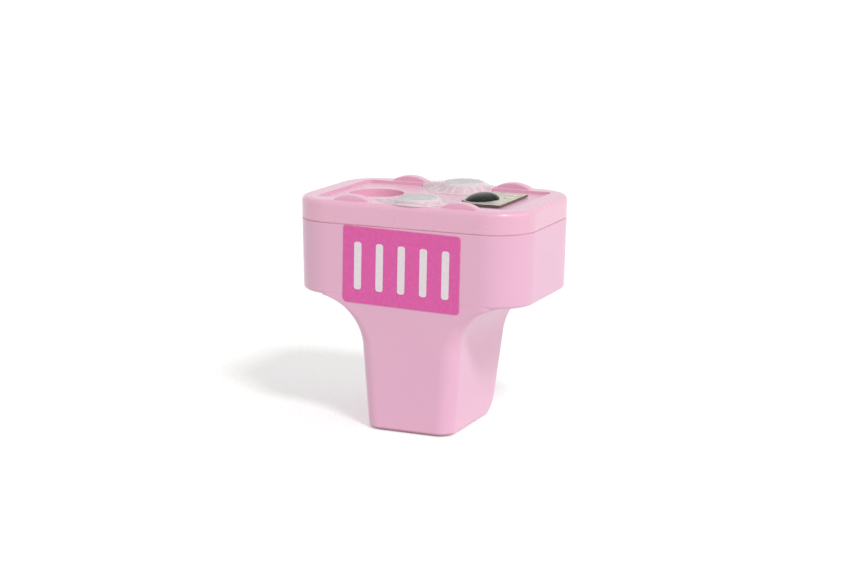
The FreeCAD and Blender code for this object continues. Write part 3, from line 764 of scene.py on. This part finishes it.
# One closed sheet: rings round the port, an upper and a lower skin, and a rim between them
def makeFilmPiece(name, shape, s):
    reaches = filmReach(shape, s)
    steps = s["slopeRings"]
    slopes = s["slopeStart"] + tuple(0.1 + 0.9 * step / steps for step in range(1, steps + 1))
    zones = (((0, s["septum"]), s["flat"]), ((s["septum"], s["boss"]), s["collar"]), ((s["boss"], None), slopes))
    bm = bmesh.new()
    milkAndHighlightLayer = bm.verts.layers.float.new("milkAndHighlight")
    rims = []
    for lift in (s["thickness"], 0):
        rings = []
        for (start, stop), shares in zones:
            for share in shares:
                ring = []
                for spoke, reach in enumerate(reaches):
                    angle = 2 * math.pi * spoke / s["spokes"]
                    end = reach if stop is None else stop
                    x, out, height, milkAndHighlight = filmPoint(angle, start + (end - start) * share, reach, shape, s)
                    vert = bm.verts.new((x, shape["side"] * out, height + lift))
                    vert[milkAndHighlightLayer] = milkAndHighlight
                    ring.append(vert)
                rings.append(ring)
        middle = bm.verts.new((s["portX"], shape["side"] * s["portY"], s["septumTop"] + s["gap"] + s["dome"] + lift))
        middle[milkAndHighlightLayer] = s["discMilk"]
        for index in range(s["spokes"]):
            bm.faces.new((middle, rings[0][index], rings[0][(index + 1) % s["spokes"]]))
        for inner, outer in zip(rings, rings[1:]):
            for index in range(s["spokes"]):
                after = (index + 1) % s["spokes"]
                bm.faces.new((inner[index], outer[index], outer[after], inner[after]))
        rims.append(rings[-1])
    bridge(bm, rims[0], rims[1])
    piece = addObject(name, meshFromBmesh(bm, name))
    piece.data.materials.append(materials["peelFilm"])
    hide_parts(shape["node"])
    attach(piece, "housing")


for filmName, filmShape in filmShapes.items():
    makeFilmPiece(filmName, filmShape, filmSettings)
print("films made")


boardSettings = {
    "cut": 3.2 * mm, "chip": 0.25 * mm, "notch": 0.45 * mm, "notchShift": -0.6 * mm, "notchSteps": 12,
    "bevel": 0.05 * mm,
}


# The chip's board: one corner cut off, the others just broken, a half-round notch at its rear
def makeBoardPiece(s):
    low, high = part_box("chip_board")
    notchX = (low.x + high.x) / 2 + s["notchShift"]
    outline = [(low.x + s["cut"], low.y), (high.x - s["chip"], low.y), (high.x, low.y + s["chip"]),
               (high.x, high.y - s["chip"]), (high.x - s["chip"], high.y)]
    for step in range(s["notchSteps"] + 1):
        angle = math.radians(180 * step / s["notchSteps"])
        outline.append((notchX + s["notch"] * math.cos(angle), high.y - s["notch"] * math.sin(angle)))
    outline += [(low.x + s["chip"], high.y), (low.x, high.y - s["chip"]), (low.x, low.y + s["cut"])]
    bm = bmesh.new()
    loops = []
    for level, inset in ((low.z, s["bevel"]), (low.z + s["bevel"], 0), (high.z - s["bevel"], 0),
                         (high.z, s["bevel"])):
        loop = []
        for x, y in outline:
            inX = min(max(x, low.x + inset), high.x - inset)
            inY = min(max(y, low.y + inset), high.y - inset)
            loop.append(bm.verts.new((inX, inY, level)))
        loops.append(loop)
    for lower, upper in zip(loops, loops[1:]):
        bridge(bm, lower, upper)
    bm.faces.new(loops[-1])
    bm.faces.new(list(reversed(loops[0])))
    bmesh.ops.triangulate(bm, faces=bm.faces)
    piece = addObject("chipBoard", meshFromBmesh(bm, "chipBoard", False))
    piece.data.materials.append(materials["boardLaminate"])
    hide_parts("chip_board")
    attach(piece, "housing")


makeBoardPiece(boardSettings)

# Small soldered dots in rows behind the drop
dotSettings = {
    "Rows": 3, "Columns": 3, "Pitch": 1.5 * mm, "Row Pitch": 1.25 * mm, "Radius": 0.28 * mm, "Height": 0.06 * mm,
    "Seed": 4, "Jitter": 0.14 * mm, "sides": 14, "topShare": 0.62, "from": (1.4 * mm, 10.6 * mm), "sink": 0.01 * mm,
}


def makeDots(s):
    low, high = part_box("chip_board")
    tree, inside, outside = newGeometryTree("solderDots", [
        ("Rows", "NodeSocketInt", 3), ("Columns", "NodeSocketInt", 3), ("Pitch", "NodeSocketFloat", 0.001),
        ("Row Pitch", "NodeSocketFloat", 0.001), ("Radius", "NodeSocketFloat", 0.0003),
        ("Height", "NodeSocketFloat", 0.0001), ("Seed", "NodeSocketInt", 4), ("Jitter", "NodeSocketFloat", 0.0001)])
    sideways = addNode(tree, "ShaderNodeCombineXYZ", links={"X": inside.outputs["Pitch"]})
    along = addNode(tree, "ShaderNodeCombineXYZ", links={"Y": inside.outputs["Row Pitch"]})
    row = addNode(tree, "GeometryNodeMeshLine",
                  links={"Count": inside.outputs["Columns"], "Offset": sideways.outputs["Vector"]})
    column = addNode(tree, "GeometryNodeMeshLine",
                     links={"Count": inside.outputs["Rows"], "Offset": along.outputs["Vector"]})
    grid = addNode(tree, "GeometryNodeInstanceOnPoints",
                   links={"Points": column.outputs["Mesh"], "Instance": row.outputs["Mesh"]})
    spots = addNode(tree, "GeometryNodeRealizeInstances", links={"Geometry": grid.outputs["Instances"]})
    most = addNode(tree, "ShaderNodeCombineXYZ", links={"X": inside.outputs["Jitter"], "Y": inside.outputs["Jitter"]})
    least = addNode(tree, "ShaderNodeVectorMath", operation="SCALE")
    least.inputs["Scale"].default_value = -1
    tree.links.new(most.outputs["Vector"], least.inputs[0])
    shift = addNode(tree, "FunctionNodeRandomValue", data_type="FLOAT_VECTOR")
    tree.links.new(least.outputs["Vector"], shift.inputs[0])
    tree.links.new(most.outputs["Vector"], shift.inputs[1])
    tree.links.new(inside.outputs["Seed"], shift.inputs["Seed"])
    moved = addNode(tree, "GeometryNodeSetPosition", links={"Geometry": spots.outputs["Geometry"],
                                                            "Offset": shift.outputs[0]})
    top = mathNode(tree, "MULTIPLY", inside.outputs["Radius"], s["topShare"])
    drop = addNode(tree, "GeometryNodeMeshCone", {"Vertices": s["sides"], "Side Segments": 1, "Fill Segments": 1},
                   {"Radius Bottom": inside.outputs["Radius"], "Radius Top": top, "Depth": inside.outputs["Height"]})
    dots = addNode(tree, "GeometryNodeInstanceOnPoints", links={"Points": moved.outputs["Geometry"],
                                                                "Instance": drop.outputs["Mesh"]})
    endTree(tree, outside, dots.outputs["Instances"], materials["boardLaminate"])
    place = Matrix.Translation(Vector((low.x + s["from"][0], low.y + s["from"][1], high.z - s["sink"])))
    piece = runTree("solderDots", tree, s, bpy.data.meshes.new("solderDotsStart"), place)
    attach(piece, "housing")


makeDots(dotSettings)


# longFront: how much farther the drop has run towards the cut corner
# Drop of resin over the chip, run out towards frontAngle, in degrees; the powers shape its section
blobSettings = {
    "radius": 2.88 * mm, "height": 1.16 * mm, "rings": 30, "spokes": 90, "uneven": 0.05, "waveScale": 1.3, "seed": 2.0,
    "longFront": 1.9 * mm, "frontAngle": 260, "frontSpread": 78,
    "ringPower": 1.15, "runPower": 1.4, "sidePower": 2.6, "crownPower": 0.7,
}


def makeBlob(s):
    low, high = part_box("chip_encapsulant")
    centre = (low + high) / 2
    bm = bmesh.new()
    rings = []
    for ring in range(s["rings"]):
        share = 1 - (ring / s["rings"]) ** s["ringPower"]
        loop = []
        for spoke in range(s["spokes"]):
            angle = 2 * math.pi * spoke / s["spokes"]
            turn = abs((math.degrees(angle) - s["frontAngle"] + 180) % 360 - 180)
            run = s["longFront"] * smoothStep(s["frontSpread"], 0, turn)
            wave = ringNoise(angle, s["waveScale"], s["seed"])
            radius = s["radius"] * share * (1 - s["uneven"] * (0.5 + 0.5 * wave)) + run * share ** s["runPower"]
            rise = s["height"] * (1 - share ** s["sidePower"]) ** s["crownPower"]
            loop.append(bm.verts.new((centre.x + radius * math.cos(angle), centre.y + radius * math.sin(angle),
                                      low.z + rise)))
        rings.append(loop)
    for outer, inner in zip(rings, rings[1:]):
        bridge(bm, outer, inner)
    peak = bm.verts.new((centre.x, centre.y, low.z + s["height"]))
    foot = bm.verts.new((centre.x, centre.y, low.z))
    for spoke in range(s["spokes"]):
        after = (spoke + 1) % s["spokes"]
        bm.faces.new((rings[-1][spoke], rings[-1][after], peak))
        bm.faces.new((rings[0][after], rings[0][spoke], foot))
    piece = addObject("resinDrop", meshFromBmesh(bm, "resinDrop"))
    piece.data.materials.append(materials["chipEpoxy"])
    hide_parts("chip_encapsulant")
    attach(piece, "housing")


makeBlob(blobSettings)
print("chip made")


springSettings = {"turns": 5, "wire": 0.3 * mm, "travel": 2.0 * mm, "turnSteps": 40, "sides": 10}


# Coil under each valve ball
def makeSprings(s):
    tree, inside, outside = newGeometryTree("valveSprings", [
        ("Turns", "NodeSocketFloat", 5.0), ("Radius", "NodeSocketFloat", 0.001),
        ("Height", "NodeSocketFloat", 0.004), ("Wire Radius", "NodeSocketFloat", 0.00015)])
    coil = addNode(tree, "GeometryNodeCurveSpiral", {"Resolution": s["turnSteps"], "Reverse": True},
                   {"Rotations": inside.outputs["Turns"], "Start Radius": inside.outputs["Radius"],
                    "End Radius": inside.outputs["Radius"], "Height": inside.outputs["Height"]})
    section = addNode(tree, "GeometryNodeCurvePrimitiveCircle", {"Resolution": s["sides"]},
                      {"Radius": inside.outputs["Wire Radius"]})
    wire = addNode(tree, "GeometryNodeCurveToMesh", {"Fill Caps": True},
                   {"Curve": coil.outputs["Curve"], "Profile Curve": section.outputs["Curve"]})
    endTree(tree, outside, wire.outputs["Mesh"], materials["springWire"])
    for place in ("front", "rear"):
        low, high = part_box(place + "_valve_spring")
        middle, length = (low + high) / 2, high.z - low.z
        values = {"Turns": float(s["turns"]), "Radius": (high.x - low.x - s["wire"]) / 2,
                  "Height": length - s["wire"], "Wire Radius": s["wire"] / 2}
        placing = Matrix.Translation(Vector((middle.x, middle.y, low.z + s["wire"] / 2)))
        name = place + "Spring"
        piece = runTree(name, tree, values, bpy.data.meshes.new(name + "Start"), placing)
        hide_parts(place + "_valve_spring")
        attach(piece, "housing")
        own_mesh(piece)


makeSprings(springSettings)
print("springs made")


# The shares say how much of its own white the floor shows to the camera and to reflections; fill is the room's light
stageSettings = {
    "floorReach": 6.0, "floorColor": (0.95, 0.955, 0.935, 1), "floorDeep": (0.78, 0.785, 0.765, 1),
    "weave": (1900.0, 2.0), "cameraShare": 0.2, "glossyShare": 0.35, "white": 2.05, "fill": 0.55,
}
# azimuth from the labelled front towards the chip's side, degrees
lampSettings = {
    "keyLamp": {"azimuth": 50.0, "elevation": 47.0, "spread": 11.0, "strength": 1.46},
    "sideLamp": {"azimuth": 86.0, "elevation": 20.0, "spread": 55.0, "strength": 0.50},
}


def makeFloor(s):
    bm = bmesh.new()
    reach = s["floorReach"]
    bm.faces.new([bm.verts.new((x * reach, y * reach, 0)) for x, y in ((-1, -1), (1, -1), (1, 1), (-1, 1))])
    mesh = bpy.data.meshes.new("floor")
    bm.to_mesh(mesh)
    bm.free()
    floor = addObject("floor", mesh)
    material, tree, shader = newMaterial("floorPaper")
    weave = noiseField(tree, objectPlace(tree), *s["weave"])
    colour = mixColour(tree, ramp(tree, weave, [(0.44, 0.0), (0.56, 1.0)]), s["floorColor"], s["floorDeep"])
    tree.links.new(colour, shader.inputs["Base Color"])
    shader.inputs["Roughness"].default_value = 0.9
    shader.inputs["Specular IOR Level"].default_value = 0.0
    white = addNode(tree, "ShaderNodeEmission", {"Color": (1, 1, 1, 1), "Strength": s["white"]})
    path = addNode(tree, "ShaderNodeLightPath")
    reflected = mathNode(tree, "MAXIMUM", path.outputs["Is Glossy Ray"], path.outputs["Is Transmission Ray"])
    share = mathNode(tree, "MAXIMUM", mathNode(tree, "MULTIPLY", path.outputs["Is Camera Ray"], s["cameraShare"]),
                     mathNode(tree, "MULTIPLY", reflected, s["glossyShare"]))
    both = addNode(tree, "ShaderNodeMixShader", links={"Fac": share})
    tree.links.new(shader.outputs["BSDF"], both.inputs[1])
    tree.links.new(white.outputs["Emission"], both.inputs[2])
    output = next(n for n in tree.nodes if n.type == "OUTPUT_MATERIAL")
    tree.links.new(both.outputs["Shader"], output.inputs["Surface"])
    floor.data.materials.append(material)


def makeLamp(name, s):
    lamp = bpy.data.lights.new(name, "SUN")
    lamp.angle = math.radians(s["spread"])
    lamp.energy = s["strength"]
    body = bpy.data.objects.new(name, lamp)
    scene.collection.objects.link(body)
    azimuth, elevation = math.radians(s["azimuth"]), math.radians(s["elevation"])
    towards = Vector((math.sin(azimuth) * math.cos(elevation), -math.cos(azimuth) * math.cos(elevation),
                      math.sin(elevation)))
    body.location = towards
    body.rotation_mode = "QUATERNION"
    body.rotation_quaternion = towards.to_track_quat("Z", "Y")


def makeWorld(s):
    world = bpy.data.worlds.new("whiteRoom")
    scene.world = world
    world.use_nodes = True
    tree = world.node_tree
    tree.nodes.clear()
    path = addNode(tree, "ShaderNodeLightPath")
    seen = mathNode(tree, "MAXIMUM", path.outputs["Is Camera Ray"],
                    mathNode(tree, "MAXIMUM", path.outputs["Is Glossy Ray"], path.outputs["Is Transmission Ray"]))
    strength = mathNode(tree, "ADD", mathNode(tree, "MULTIPLY", seen, 1 - s["fill"]), s["fill"])
    background = addNode(tree, "ShaderNodeBackground", {"Color": (1, 1, 1, 1)}, {"Strength": strength})
    addNode(tree, "ShaderNodeOutputWorld", links={"Surface": background.outputs["Background"]})


makeFloor(stageSettings)
for lampName, lampValues in lampSettings.items():
    makeLamp(lampName, lampValues)
makeWorld(stageSettings)
print("stage made")
